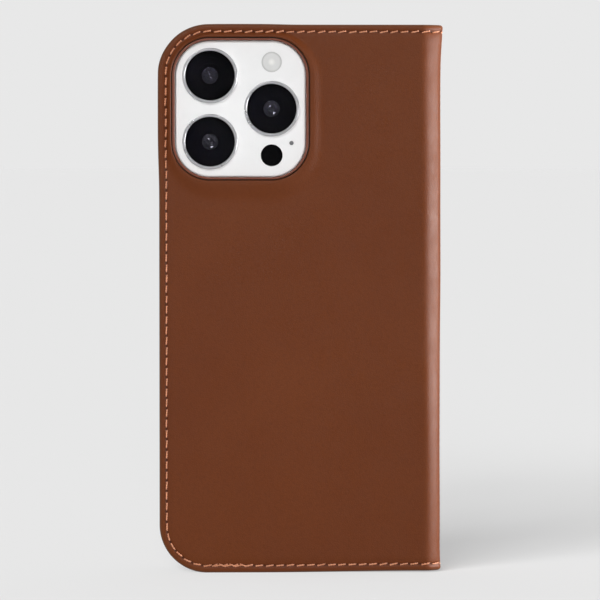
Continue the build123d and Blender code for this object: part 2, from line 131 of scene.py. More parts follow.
def warp(x, z, side):
    """Small departures from the ideal shape: the spine's ends flare, and the rim bulges beside the camera."""
    flare = FLARE + FLARE_UPPER * smooth((z - 45.0) / 50.0)
    flare = flare + FLARE_TOP * np.exp(-(((TALL - z) / 7.5) ** 2)) + FLARE_BASE * np.exp(-((z / 5.0) ** 2))
    dx = flare * smooth((x - (X_SPINE - SPINE_R)) / SPINE_R)
    dz = BASE_LIFT * smooth((x + 15.0) / 52.0) * np.exp(-((z / 12.0) ** 2))
    if side == "rear":
        rim = 1 - smooth((x - X_FREE) / RIM_WIDTH)
        dx = dx - SIDE_BULGE * rim * np.exp(-(((z - CAMERA.z) / 19.0) ** 4))
        top = 1 - smooth((TALL - z) / RIM_WIDTH)
        dz = dz + TOP_BULGE * top * np.exp(-(((x + 18.0) / 13.0) ** 4))
    return x + dx, z + dz


def place(points, side):
    """Points in the row frame, in millimetres, of (u, z, n) on the sheet. The fold is tighter at the base."""
    u, z, n = np.array(points, float).T
    size = FOLD_BASE + FOLD_MIDDLE * smooth((z - 25.0) / 70.0) + FOLD_TOP * smooth((z - 110.0) / 50.0)
    before, after = SPINE_R - size * FOLD_X[-1], SPINE_R - size * FOLD_Y[-1]
    fold = size * FOLD_S[-1]
    along = np.clip((u - FLAT_RUN) / QUARTER, 0, 1) * (before + fold + after)
    s = np.clip((along - before) / size, 0, FOLD_S[-1])
    turn, fold_x, fold_y = (np.interp(s, FOLD_S, table) for table in (FOLD_TURN, FOLD_X, FOLD_Y))
    straight = np.maximum(0, along - before - fold) + np.maximum(0, u - FLAT_RUN - QUARTER)
    x = X_FREE + np.minimum(u, FLAT_RUN) + np.minimum(along, before) + size * fold_x - n * np.sin(turn)
    y = size * fold_y + n * np.cos(turn) + straight
    x, z = warp(x, z, side)
    y = Y_REAR + y if side == "rear" else Y_FRONT - y
    return np.stack([x, y, z], 1)


def rounded_distance(x, z, width, height, radius):
    """Signed distance outside a rounded rectangle centred at the origin."""
    dx, dz = np.abs(x) - width / 2 + radius, np.abs(z) - height / 2 + radius
    outside = np.hypot(np.maximum(dx, 0), np.maximum(dz, 0))
    return outside + np.minimum(np.maximum(dx, dz), 0) - radius


def edge_distance(u, z):
    """Distance in from the cover's outline on the laid-flat sheet."""
    near = np.minimum(z, TALL - z)
    corner = (u < CASE_R) & (near < CASE_R)
    return np.where(corner, CASE_R - np.hypot(CASE_R - u, CASE_R - near), np.minimum(u, near))


def window_distance(u, z):
    return rounded_distance(u - WINDOW_U, z - CAMERA.z, WINDOW_W, WINDOW_H, WINDOW_R)


def mound(u, z):
    """Rise of the pad round the camera window: narrow at the rim and wide towards the spine and the base."""
    left, right, low, high = PAD_REACH
    du, dz = u - WINDOW_U - (right - left) / 2, z - CAMERA.z - (high - low) / 2
    foot = -rounded_distance(du, dz, WINDOW_W + left + right, WINDOW_H + low + high, PAD_R)
    crest = np.maximum(window_distance(u, z) - 0.5, 0)
    share = np.clip(foot, 0, None) / (np.clip(foot, 0, None) + crest + 1e-9)
    return MOUND_H * smooth(share * 1.05)


def seam_groove(distance):
    """Depth of the valley that the seam pulls into the leather, at a distance in from the edge."""
    return SEAM_GROOVE * np.exp(-(((distance - SEAM_INSET) / GROOVE_WIDTH) ** 2))


def round_over(distance, radius):
    """How far a rounded edge has dropped at a distance in from it."""
    inside = np.clip(radius - distance, 0, radius)
    return radius - np.sqrt(np.maximum(radius**2 - inside**2, 0))


# ---------------------------------------------------------------- sheets with a rounded rim
def rim_run(step):
    """(u, z, inward u, inward z) along the outline, from the spine's middle at the base to its top."""
    points = [(u, 0.0, 0.0, 1.0) for u in even(U_MID, CASE_R, step)[:-1]]
    corner = even(0.0, math.pi / 2, step / CASE_R)
    points += [
        (CASE_R - CASE_R * math.sin(a), CASE_R - CASE_R * math.cos(a), math.sin(a), math.cos(a))
        for a in corner[:-1]
    ]
    points += [(0.0, z, 1.0, 0.0) for z in even(CASE_R, TALL - CASE_R, step)[:-1]]
    high = TALL - CASE_R
    points += [
        (CASE_R - CASE_R * math.cos(a), high + CASE_R * math.sin(a), math.cos(a), -math.sin(a))
        for a in corner[:-1]
    ]
    points += [(u, TALL, 0.0, -1.0) for u in even(CASE_R, U_MID, step)]
    return np.array(points)


def even(start, stop, step):
    count = max(1, round(abs(stop - start) / step))
    return [start + (stop - start) * i / count for i in range(count + 1)]


def rounded_loop(width, height, radius, step):
    """(x, z, outward x, outward z) round a rounded rectangle centred at the origin."""
    w, h = width / 2 - radius, height / 2 - radius
    loop = []
    sides = ((w, -h, 0, 2 * h), (w, h, 90, 2 * w), (-w, h, 180, 2 * h), (-w, -h, 270, 2 * w))
    for cx, cz, degrees, length in sides:
        a = math.radians(degrees)
        out, along = (math.cos(a), math.sin(a)), (-math.sin(a), math.cos(a))
        for s in even(0.0, length, step)[:-1]:
            loop.append((cx + out[0] * radius + along[0] * s, cz + out[1] * radius + along[1] * s, *out))
        nx, nz = cx + along[0] * length, cz + along[1] * length
        for t in even(0.0, math.pi / 2, step / radius)[:-1]:
            o = (math.cos(a + t), math.sin(a + t))
            loop.append((nx + o[0] * radius, nz + o[1] * radius, *o))
    return np.array(loop)


class Sheet:
    """Collects the points and faces of one closed sheet."""

    def __init__(self):
        self.points, self.faces = [], []

    def add(self, u, z, n):
        start = len(self.points)
        self.points += list(zip(u, z, n))
        return list(range(start, len(self.points)))

    def strip(self, a, b, closed=False):
        count = len(a)
        for i in range(count if closed else count - 1):
            j = (i + 1) % count
            self.faces.append((a[i], a[j], b[j], b[i]))


def fill(outer, hole, inner):
    """Triangles over the inside of a loop, as indices into outer + hole + inner points."""
    points = [Vector(p) for p in list(outer) + list(hole) + list(inner)]
    count, holes = len(outer), len(hole)
    edges = [(i, (i + 1) % count) for i in range(count)]
    edges += [(count + i, count + (i + 1) % holes) for i in range(holes)]
    out, _, faces, origin, _, _ = delaunay_2d_cdt(points, edges, [], 1, 1e-5)
    index = [o[0] for o in origin]
    triangles = [tuple(index[i] for i in f) for f in faces]
    if holes:
        rim = range(count, count + holes)
        triangles = [t for t in triangles if not all(i in rim for i in t)]
    return triangles


def inner_points(clear_rim, clear_window, arc_step):
    """Points for the inside of the sheet: rings round the window, then a grid finer at the spine's bend."""
    points = []
    if clear_window is not None:
        for distance in (1.1, 1.7, 2.4, 3.2, 4.1, 5.1, 6.2, 7.4, 8.8):
            loop = rounded_loop(WINDOW_W, WINDOW_H, WINDOW_R, 1.1)
            u = loop[:, 0] + loop[:, 2] * distance + WINDOW_U
            z = loop[:, 1] + loop[:, 3] * distance + CAMERA.z
            keep = edge_distance(u, z) > clear_rim + 0.35
            points += list(zip(u[keep], z[keep]))
    columns = even(0.0, FLAT_RUN - 3, 2.4) + even(FLAT_RUN - 3, U_MID, arc_step)[1:-1]
    rows = even(0.0, TALL, 2.2)
    for i, u in enumerate(columns):
        for j, z in enumerate(rows):
            z = z + (0.0 if i % 2 else 1.1)
            if edge_distance(np.float64(u), np.float64(z)) < clear_rim + 0.5:
                continue
            if clear_window is not None and window_distance(np.float64(u), np.float64(z)) < 9.6:
                continue
            points.append((u, z))
    return points


def wrap_sheet(top, bottom, rims, step, window, arc_step=0.7):
    """A closed sheet of the wrap.

    top and bottom give n at (u, z). rims are the insets of the rings of the top face, and of the bottom
    face. window is None, or the distances out from the window's edge of the rings on each face.
    """
    sheet = Sheet()
    run = rim_run(step)
    loop = rounded_loop(WINDOW_W, WINDOW_H, WINDOW_R, 0.9)
    inner = inner_points(rims[0][-1], window and window[0][-1], arc_step)
    ends, rim_edges, window_edges = [], [], []
    triangles = None
    for face, depth in enumerate((top, bottom)):
        rings = []
        for inset in rims[face]:
            u, z = run[:, 0] + run[:, 2] * inset, run[:, 1] + run[:, 3] * inset
            rings.append(sheet.add(u, z, depth(u, z)))
        for a, b in zip(rings, rings[1:]):
            sheet.strip(a, b)
        hole, hole_rings = [], []
        if window:
            for out in window[face]:
                u = loop[:, 0] + loop[:, 2] * out + WINDOW_U
                z = loop[:, 1] + loop[:, 3] * out + CAMERA.z
                hole_rings.append(sheet.add(u, z, depth(u, z)))
            for a, b in zip(hole_rings, hole_rings[1:]):
                sheet.strip(a, b, True)
            hole = hole_rings[-1]
        last = rings[-1]
        z_mid = even(rims[face][-1], TALL - rims[face][-1], 2.2)[1:-1][::-1]
        middle = sheet.add([U_MID] * len(z_mid), z_mid, depth(np.full(len(z_mid), U_MID), np.array(z_mid)))
        inside = sheet.add(*np.array([(u, z, 0) for u, z in inner]).T)
        u, z = np.array(inner).T
        for i, n in zip(inside, depth(u, z)):
            sheet.points[i] = (*sheet.points[i][:2], n)
        outer = last + middle
        if triangles is None:
            flat = [sheet.points[i][:2] for i in outer]
            flat_hole = [sheet.points[i][:2] for i in hole]
            triangles = fill(flat, flat_hole, inner)
        index = outer + hole + inside
        sheet.faces += [tuple(index[i] for i in t) for t in triangles]
        ends.append([r[0] for r in rings] + middle[::-1] + [r[-1] for r in rings][::-1])
        rim_edges.append(rings[0])
        window_edges.append(hole_rings[0] if window else [])
    sheet.strip(rim_edges[0], rim_edges[1])
    if window:
        sheet.strip(window_edges[0], window_edges[1], True)
    sheet.faces.append(tuple(ends[0] + ends[1][::-1]))
    return sheet


def mesh_object(name, points, faces, material, sharp_deg=40):
    """A closed, smooth-shaded mesh object from points in millimetres."""
    mesh = bpy.data.meshes.new(name)
    mesh.from_pydata([tuple(p) for p in np.array(points) * MM], [], faces)
    made = bmesh.new()
    made.from_mesh(mesh)
    bmesh.ops.triangulate(made, faces=[f for f in made.faces if len(f.verts) > 4])
    bmesh.ops.recalc_face_normals(made, faces=made.faces)
    for face in made.faces:
        face.smooth = True
    for edge in made.edges:
        if len(edge.link_faces) == 2 and edge.calc_face_angle(0) > math.radians(sharp_deg):
            edge.smooth = False
    made.to_mesh(mesh)
    made.free()
    mesh.materials.append(material)
    obj = bpy.data.objects.new(name, mesh)
    bpy.context.scene.collection.objects.link(obj)
    return obj


def tint(obj, name, values):
    """A number for each point, read by the material."""
    attribute = obj.data.attributes.new(name, "FLOAT", "POINT")
    attribute.data.foreach_set("value", np.array(values, np.float32))


# ---------------------------------------------------------------- materials
def srgb(r, g, b):
    linear = [c / 255 / 12.92 if c <= 10 else ((c / 255 + 0.055) / 1.055) ** 2.4 for c in (r, g, b)]
    return (*linear, 1.0)


def scaled(colour, factor):
    return (*(c * factor for c in colour[:3]), 1.0)


class Shader:
    """A Principled material, with helpers for its procedural detail."""

    def __init__(self, name, colour, roughness, **inputs):
        self.material = bpy.data.materials.new(name)
        self.material.use_nodes = True
        self.tree = self.material.node_tree
        self.bsdf = self.tree.nodes["Principled BSDF"]
        self.bsdf.inputs["Base Color"].default_value = colour
        self.bsdf.inputs["Roughness"].default_value = roughness
        for key, value in inputs.items():
            self.bsdf.inputs[key.replace("_", " ")].default_value = value
        self.colour = colour
        self.normal = None
        self.coordinates = self.node("ShaderNodeTexCoord").outputs["Object"]

    def node(self, kind, **settings):
        made = self.tree.nodes.new(kind)
        for key, value in settings.items():
            setattr(made, key, value)
        return made

    def link(self, output, entry):
        self.tree.links.new(output, entry)

    def noise(self, per_metre, detail, roughness=0.55):
        made = self.node("ShaderNodeTexNoise")
        made.inputs["Scale"].default_value = per_metre
        made.inputs["Detail"].default_value = detail
        made.inputs["Roughness"].default_value = roughness
        self.link(self.coordinates, made.inputs["Vector"])
        return made.outputs["Fac"]

    def cells(self, per_metre, jitter_scale, jitter_size):
        """Distance to the nearest edge of irregular cells."""
        made = self.node("ShaderNodeTexVoronoi", feature="DISTANCE_TO_EDGE")
        made.inputs["Scale"].default_value = per_metre
        self.link(self.shaken(jitter_scale, jitter_size), made.inputs["Vector"])
        return made.outputs["Distance"]

    def shaken(self, scale, size):
        """Coordinates pushed about by a noise of a scale and a size in metres."""
        noise = self.node("ShaderNodeTexNoise")
        noise.inputs["Scale"].default_value = scale
        self.link(self.coordinates, noise.inputs["Vector"])
        centred = self.node("ShaderNodeVectorMath", operation="SUBTRACT")
        self.link(noise.outputs["Color"], centred.inputs[0])
        centred.inputs[1].default_value = (0.5, 0.5, 0.5)
        push = self.node("ShaderNodeVectorMath", operation="SCALE")
        self.link(centred.outputs["Vector"], push.inputs[0])
        push.inputs["Scale"].default_value = size
        total = self.node("ShaderNodeVectorMath", operation="ADD")
        self.link(self.coordinates, total.inputs[0])
        self.link(push.outputs["Vector"], total.inputs[1])
        return total.outputs["Vector"]

    def from_centre(self, low, high):
        """The place on a node, from the middle of its box."""
        made = self.node("ShaderNodeVectorMath", operation="SUBTRACT")
        self.link(self.coordinates, made.inputs[0])
        made.inputs[1].default_value = tuple((low + high) / 2 * MM)
        return made.outputs["Vector"]

    def ramp(self, value, low, high, out_low=0.0, out_high=1.0):
        made = self.node("ShaderNodeMapRange")
        for key, number in (("From Min", low), ("From Max", high), ("To Min", out_low), ("To Max", out_high)):
            made.inputs[key].default_value = number
        self.link(value, made.inputs["Value"])
        return made.outputs["Result"]

    def attribute(self, name):
        made = self.node("ShaderNodeAttribute", attribute_name=name)
        return made.outputs["Fac"]

    def mix_colour(self, factor, colour):
        """Lays a colour over what the base colour is so far, by factor."""
        made = self.node("ShaderNodeMix", data_type="RGBA")
        entry = self.bsdf.inputs["Base Color"]
        if entry.is_linked:
            self.link(entry.links[0].from_socket, made.inputs["A"])
        else:
            made.inputs["A"].default_value = self.colour
        made.inputs["B"].default_value = colour
        self.link(factor, made.inputs["Factor"])
        self.link(made.outputs["Result"], entry)

    def vary_roughness(self, value):
        self.link(value, self.bsdf.inputs["Roughness"])

    def bump(self, height, millimetres, strength):
        made = self.node("ShaderNodeBump")
        made.inputs["Distance"].default_value = millimetres * MM
        made.inputs["Strength"].default_value = strength
        self.link(height, made.inputs["Height"])
        if self.normal:
            self.link(self.normal, made.inputs["Normal"])
        self.normal = made.outputs["Normal"]
        self.link(self.normal, self.bsdf.inputs["Normal"])


RAW_EDGE = (0.15, 0.09, 0.055, 1.0)
# burnished cut edges, and painted shade in the seam's groove, partly the real darkening where the stitches
# press the leather
BURNISH_AND_GROOVE_SHADE = (0.07, 0.014, 0.006, 1.0)
# painted shade that darkens the needle holes
NEEDLE_HOLE_SHADE = (0.022, 0.005, 0.003, 1.0)


def leather_material(name, light, dark, roughness):
    """Smooth full-grain leather: cloudy colour, fine pebbled grain, burnished rims, painted shade in the
    seam's groove and in the needle holes.
    """
    made = Shader(name, light, roughness, Specular_IOR_Level=0.21)
    clouds = made.ramp(made.noise(24, 5), 0.3, 0.75)
    made.mix_colour(clouds, dark)
    mottle = made.ramp(made.noise(900, 3), 0.42, 0.75, 0.0, 0.26)
    made.mix_colour(mottle, scaled(dark, 0.74))
    pores = made.cells(1500, 700, 0.0007)
    made.mix_colour(made.ramp(pores, 0.0, 0.09, 0.22, 0.0), scaled(dark, 0.55))
    made.mix_colour(made.attribute("raw_edge"), RAW_EDGE)
    # burnished edges, and painted shade darkening the seam's groove
    made.mix_colour(made.attribute("burnish_and_groove_shade"), BURNISH_AND_GROOVE_SHADE)
    # painted shade in the needle holes
    made.mix_colour(made.attribute("needle"), NEEDLE_HOLE_SHADE)
    made.vary_roughness(made.ramp(made.noise(160, 4), 0.3, 0.7, roughness - 0.05, roughness + 0.08))
    made.bump(made.ramp(pores, 0.0, 0.16), 0.035, 0.55)
    made.bump(made.noise(3800, 3), 0.02, 0.5)
    made.bump(made.noise(240, 3), 0.05, 0.35)
    return made.material


def nap_material(name, light, dark):
    """Short-nap microfibre."""
    made = Shader(name, light, 0.9, Specular_IOR_Level=0.2, Sheen_Weight=0.35, Sheen_Roughness=0.5)
    made.bsdf.inputs["Sheen Tint"].default_value = tuple(min(1.0, c * 4) for c in light[:3]) + (1.0,)
    made.mix_colour(made.ramp(made.noise(90, 5), 0.35, 0.7), dark)
    made.mix_colour(made.ramp(made.noise(5200, 2), 0.45, 0.7, 0.0, 0.45), scaled(dark, 0.6))
    made.bump(made.noise(4200, 4, 0.7), 0.06, 0.8)
    made.bump(made.noise(700, 2), 0.05, 0.4)
    return made.material


def moulded_material(name, colour, roughness, grit=1600, depth=0.03, **inputs):
    """Moulded or blasted surface with fine grit and faint handling marks."""
    made = Shader(name, colour, roughness, **inputs)
    made.mix_colour(made.ramp(made.noise(60, 4), 0.35, 0.75, 0.0, 0.3), scaled(colour, 0.8))
    low, high = roughness * 0.88, min(1.0, roughness * 1.12)
    made.vary_roughness(made.ramp(made.noise(220, 4), 0.3, 0.7, low, high))
    made.bump(made.noise(grit, 3, 0.6), depth, 0.5)
    return made.material


LEATHER = leather_material("leather", srgb(108, 54, 22), srgb(101, 49, 20), 0.41)
POCKET_LEATHER = leather_material("pocket_leather", srgb(111, 57, 28), srgb(103, 52, 25), 0.46)
LINING = nap_material("lining", srgb(92, 56, 38), srgb(78, 46, 31))
SUEDE = nap_material("shell_suede", srgb(98, 60, 41), srgb(84, 50, 34))
BOARD = moulded_material("reinforcement_board", srgb(70, 62, 54), 0.85)
SHELL = moulded_material("shell", srgb(92, 52, 34), 0.6, Specular_IOR_Level=0.35)
BEZEL = moulded_material("camera_bezel", srgb(118, 62, 42), 0.42, 2400, 0.012, Coat_Weight=0.15)
BUTTON = moulded_material(
    "button_cap", srgb(112, 58, 38), 0.4, 2400, 0.01, Metallic=0.2, Coat_Weight=0.2
)
ALUMINIUM = moulded_material("phone_frame", srgb(208, 208, 211), 0.36, 5200, 0.01, Metallic=1.0)
STEEL = moulded_material("closure_steel", srgb(180, 180, 184), 0.34, 900, 0.01, Metallic=1.0)
PORT = moulded_material("phone_port", srgb(96, 96, 99), 0.4, 3000, 0.01, Metallic=0.8)
BACK_GLASS = moulded_material("phone_back_glass", srgb(236, 236, 235), 0.4, 5000, 0.005)
PLATEAU = moulded_material("camera_plateau", srgb(247, 247, 247), 0.38, 5000, 0.004, Coat_Weight=0.1)
FOIL = moulded_material("battery_foil", srgb(52, 52, 55), 0.45, 400, 0.05)
CIRCUIT = moulded_material("circuit_board", srgb(30, 52, 40), 0.55, 300, 0.1)
FOAM = moulded_material("spacer_foam", srgb(48, 42, 36), 0.95, 2600, 0.12)
TAPE = moulded_material("gusset_tape", srgb(66, 38, 26), 0.9, 2600, 0.06)
MICROPHONE = moulded_material("microphone_mesh", srgb(112, 112, 114), 0.7, 9000, 0.05)


def thread_material():
    made = Shader("thread", srgb(217, 148, 110), 0.5, Specular_IOR_Level=0.5, Sheen_Weight=0.3)
    made.mix_colour(made.ramp(made.noise(500, 3), 0.4, 0.75, 0.0, 0.6), srgb(211, 136, 92))
    made.mix_colour(made.ramp(made.noise(7000, 2), 0.5, 0.8, 0.0, 0.4), srgb(168, 92, 54))
    made.bump(made.noise(9000, 3), 0.03, 0.7)
    return made.material


def black_material(name, colour, roughness, specular):
    made = Shader(name, colour, roughness, Specular_IOR_Level=specular)
    made.vary_roughness(made.ramp(made.noise(120, 3), 0.3, 0.7, roughness * 0.85, roughness * 1.2))
    return made.material


def lens_element_material():
    """Dark coated glass with a violet specular tint, and a painted violet-blue sheen that grows where the
    glass turns away from the view.
    """
    coat = {"Coat_Weight": 0.8, "Coat_Roughness": 0.08}
    made = Shader("lens_element", srgb(10, 9, 20), 0.16, Specular_IOR_Level=0.85, **coat)
    made.bsdf.inputs["Specular Tint"].default_value = (0.84, 0.8, 1.0, 1.0)
    # painted sheen: the base colour turns violet-blue as the surface turns from the view
    facing = made.node("ShaderNodeLayerWeight")
    facing.inputs["Blend"].default_value = 0.4
    made.mix_colour(facing.outputs["Facing"], srgb(44, 42, 80))
    return made.material


def flash_material():
    """A frosted lens with a painted highlight brightening its middle, greyer at the rim, with fine concentric
    ridges.
    """
    low, high = low_high("flash_lens")
    made = Shader("flash_lens", srgb(222, 222, 221), 0.35, Coat_Weight=0.5, Coat_Roughness=0.08)
    length = made.node("ShaderNodeVectorMath", operation="LENGTH")
    made.link(made.from_centre(low, high), length.inputs[0])
    radius = length.outputs["Value"]
    # painted highlight: the middle is lightened towards white
    made.mix_colour(made.ramp(radius, 0.0003, 0.0013, 0.9, 0.0), srgb(252, 251, 248))
    made.mix_colour(made.ramp(radius, 0.0025, 0.0030, 0.0, 0.5), srgb(160, 160, 159))
    ridges = made.node("ShaderNodeMath", operation="SINE")
    made.link(made.ramp(radius, 0.0, 0.0031, 0.0, 70.0), ridges.inputs[0])
    made.bump(ridges.outputs["Value"], 0.03, 0.5)
    return made.material


DISPLAY_HALF = ("X", 0.0371), ("Z", 0.0798)


def screen_material():
    """Black glass, the sleeping display a little lighter than the border round it."""
    made = Shader("phone_screen", srgb(4, 4, 5), 0.05, Coat_Weight=0.6, Coat_Roughness=0.02)
    parts = made.node("ShaderNodeSeparateXYZ")
    made.link(made.from_centre(SCREEN_LOW, SCREEN_HIGH), parts.inputs[0])
    inside = None
    for axis, half in DISPLAY_HALF:
        size = made.node("ShaderNodeMath", operation="ABSOLUTE")
        made.link(parts.outputs[axis], size.inputs[0])
        within = made.ramp(size.outputs["Value"], half, half + 0.0001, 1.0, 0.0)
        if inside is not None:
            both = made.node("ShaderNodeMath", operation="MULTIPLY")
            made.link(inside, both.inputs[0])
            made.link(within, both.inputs[1])
            within = both.outputs["Value"]
        inside = within
    made.mix_colour(inside, srgb(30, 32, 36))
    return made.material


THREAD = thread_material()
BARREL = black_material("lens_barrel", srgb(8, 7, 13), 0.55, 0.06)
SENSOR = black_material("black_glass", srgb(5, 5, 6), 0.12, 0.12)
LENS_COVER = Shader("lens_cover", (0.97, 0.98, 1.0, 1.0), 0.0, Transmission_Weight=1.0, IOR=1.14).material
ELEMENT = lens_element_material()
FLASH = flash_material()
SCREEN = screen_material()
RING = moulded_material("lens_ring", srgb(205, 205, 208), 0.3, 4000, 0.001, Metallic=0.75)

CARRIED = {
    SHELL: ["phone_shell"],
    SUEDE: ["shell_suede"],
    BEZEL: ["camera_bezel"],
    FOAM: ["camera_spacer"],
    STEEL: [f"{part}_{end}" for part in ("closure_plate", "cover_magnet") for end in ("upper", "lower")],
    ALUMINIUM: ["phone_frame"] + [f"phone_{n}_key" for n in ("power", "action", "volume_up", "volume_down")],
    BUTTON: [f"{n}_cap" for n in ("power", "action", "volume_up", "volume_down")],
    BACK_GLASS: ["phone_back_glass"],
    SCREEN: ["phone_screen"],
    FOIL: ["phone_battery"],
    CIRCUIT: ["phone_logic_board"],
    PORT: ["phone_charging_port"],
    PLATEAU: ["camera_plateau"],
    FLASH: ["flash_lens"],
    SENSOR: ["depth_sensor_window"],
    MICROPHONE: ["microphone_mesh"],
    RING: [f"{n}_lens_ring" for n in ("upper", "lower", "side")],
    LENS_COVER: [f"{n}_lens_cover" for n in ("upper", "lower", "side")],
    BARREL: [f"{n}_lens_barrel" for n in ("upper", "lower", "side")],
    ELEMENT: [f"{n}_lens_element" for n in ("upper", "lower", "side")],
    TAPE: ["cash_pocket_gusset"] + [f"card_pocket_{i}_gusset" for i in (1, 2, 3)],
}
for carried_material, names in CARRIED.items():
    for node_name in names:
        node_mesh = frame["nodes"][node_name].data
        node_mesh.materials.clear()
        node_mesh.materials.append(carried_material)


# ---------------------------------------------------------------- the seam
SEAM_RUN = rim_run(0.1)
SEAM_RUN[:, 0] += SEAM_RUN[:, 2] * SEAM_INSET
SEAM_RUN[:, 1] += SEAM_RUN[:, 3] * SEAM_INSET
SEAM_S = np.concatenate([[0], np.cumsum(np.hypot(*np.diff(SEAM_RUN[:, :2], axis=0).T))])
SEAM_COUNT = round(SEAM_S[-1] / STITCH_PITCH)
HOLES = np.linspace(0, SEAM_S[-1], SEAM_COUNT + 1)
THREAD_R, PLY_R, HOLE_LENGTH = 0.11, 0.155, 0.56
LEAN_FLAT, LEAN_UPRIGHT = -0.42, 0.16  # a stitch's lean across a level seam and an upright one
SPINE_SINK = 0.2  # how much deeper the thread lies where the seam rounds the spine
LOCK_START, LOCK_END = 17.5, 26.8  # where the rear seam is locked, from the free edge


def seam_at(s, across=0.0):
    """u and z on the seam at s along it, moved across it towards the inside."""
    u, z, iu, iz = (np.interp(s, SEAM_S, SEAM_RUN[:, k]) for k in range(4))
    return u + iu * across, z + iz * across


HOLE_POINTS = np.array(seam_at(HOLES)).T


def near_hole(u, z, length):
    """1 at a needle hole, falling to 0 a little way off."""
    u, z = np.atleast_1d(u), np.atleast_1d(z)
    best = np.full(u.shape, 9.0)
    close = np.abs(edge_distance(u, z) - SEAM_INSET) < 1.2
    if close.any():
        d = np.hypot(u[close, None] - HOLE_POINTS[None, :, 0], z[close, None] - HOLE_POINTS[None, :, 1])
        best[close] = d.min(1)
    return np.exp(-((best / length) ** 2))


def stitch_tube(stitch, depth_at, run_at):
    """Two twisted plies of one stitch, as (u, z, n) rings. depth_at gives n of the surface at (u, z)."""
    start, stop, across, slant, lift = stitch
    rings, sides = 15, 7
    t = np.linspace(0, 1, rings)
    s = start + (stop - start) * t
    e = 2 * t - 1
    height = lift * (1 - np.abs(e) ** 5) - 0.62 * np.clip((np.abs(e) - 0.8) / 0.2, 0, 1) ** 1.5
    tubes = []
    for ply in (0, math.pi):
        twist = ply + t * 2 * math.pi * 1.7
        points = []
        for k in range(rings):
            for j in range(sides):
                a = 2 * math.pi * j / sides
                side = across + slant * (t[k] - 0.5) + THREAD_R * math.cos(twist[k]) + PLY_R * math.cos(a)
                up = THREAD_R * math.sin(twist[k]) + PLY_R * math.sin(a)
                u, z = run_at(s[k], side)
                points.append((float(u), float(z), float(depth_at(u, z)) - height[k] - up))
        tubes.append(points)
    return tubes, rings, sides


def thread_object(name, stitches, depth_at, put, run_at=seam_at):
    """All stitches of one seam as one object. stitches are (start, stop, across, slant, lift)."""
    points, faces = [], []
    for stitch in stitches:
        tubes, rings, sides = stitch_tube(stitch, depth_at, run_at)
        for tube in tubes:
            base = len(points)
            points += tube
            for k in range(rings - 1):
                for j in range(sides):
                    a, b = base + k * sides + j, base + k * sides + (j + 1) % sides
                    faces.append((a, b, b + sides, a + sides))
            faces.append(tuple(base + j for j in range(sides))[::-1])
            faces.append(tuple(base + (rings - 1) * sides + j for j in range(sides)))
    return mesh_object(name, put(points), faces, THREAD, 80)


def lay_stitches(holes, run_at, rng):
    """One stitch from each hole to the next, a little uneven, its lean set by how upright the seam is."""
    margin = HOLE_LENGTH / 2
    stitches = []
    for a, b in zip(holes, holes[1:]):
        (u0, z0), (u1, z1) = run_at(a, 0.0), run_at(b, 0.0)
        rise = (z1 - z0) ** 2 / ((u1 - u0) ** 2 + (z1 - z0) ** 2)
        slant = LEAN_FLAT + (LEAN_UPRIGHT - LEAN_FLAT) * rise
        trim = rng.uniform(-0.06, 0.1, 2)
        start, stop = a + margin + trim[0], b - margin - trim[1]
        across = rng.normal(0, 0.035)
        slant = slant * rng.uniform(0.55, 1.4)
        stitches.append((start, stop, across, slant, rng.uniform(0.06, 0.15)))
    return stitches


# ---------------------------------------------------------------- the wrap
EDGE_R, WINDOW_EDGE_R = 0.85, 0.34


def leather_face(u, z, rear):
    """n of the leather's outer face: rounded rim, the seam's valley, needle holes and the camera pad."""
    d = edge_distance(u, z)
    n = round_over(d, EDGE_R)
    n = n + seam_groove(d) - 0.05 * np.exp(-(((d - 1.15) / 0.5) ** 2))
    n = n + 0.2 * near_hole(u, z, 0.26)
    ripple = np.sin(u * 0.11 + 1.0) * np.sin(z * 0.075 + 0.4) + 0.5 * np.sin(u * 0.23 - z * 0.17)
    n = n + 0.045 * ripple * smooth((d - 3) / 8)
    if rear:
        w = window_distance(u, z)
        n = n - mound(u, z) + round_over(np.maximum(w, 0), WINDOW_EDGE_R)
    return n


# how far in from the rim, and out from the window, each ring of points lies on the leather's two faces
RIM_TOP = (0.0, 0.05, 0.14, 0.28, 0.46, 0.75, 1.1, 1.45, 1.72, 1.9, 2.05, 2.2, 2.35, 2.5, 2.68, 2.9)
RIM_BOTTOM = (0.0, 0.12, 2.9)
WINDOW_TOP = (0.0, 0.05, 0.12, 0.22, 0.34, 0.5)
WINDOW_BOTTOM = (0.0, 0.5)


def wrap_leather(side):
    rear = side == "rear"

    def bottom(u, z):
        n = np.full(np.shape(u), LEATHER_T) - 0.14 * (edge_distance(u, z) < 0.05)
        return n - mound(u, z) if rear else n

    def top(u, z):
        return leather_face(u, z, rear)

    window = (WINDOW_TOP, WINDOW_BOTTOM) if rear else None
    sheet = wrap_sheet(top, bottom, (RIM_TOP, RIM_BOTTOM), 0.53, window)
    obj = mesh_object(f"{side}_leather_skin", place(sheet.points, side), sheet.faces, LEATHER)
    u, z, n = np.array(sheet.points).T
    d = edge_distance(u, z)
    # painted shade along the seam's groove, partly the real darkening of leather pressed by the stitches; the
    # window's cut edge is burnished darker
    burnish_and_groove_shade = 0.34 * np.exp(-(((d - SEAM_INSET) / 0.42) ** 2))
    if rear:
        burnish_and_groove_shade = burnish_and_groove_shade + 0.3 * np.exp(-((window_distance(u, z) / 0.12) ** 2))
    tint(obj, "burnish_and_groove_shade", np.clip(burnish_and_groove_shade, 0, 1))
    tint(obj, "raw_edge", 0.45 * np.exp(-((d / 0.5) ** 2)))
    # painted shade at the needle holes, on the outer face only
    tint(obj, "needle", np.clip(near_hole(u, z, 0.3) * 0.75, 0, 1) * (n < 0.9))
    return obj


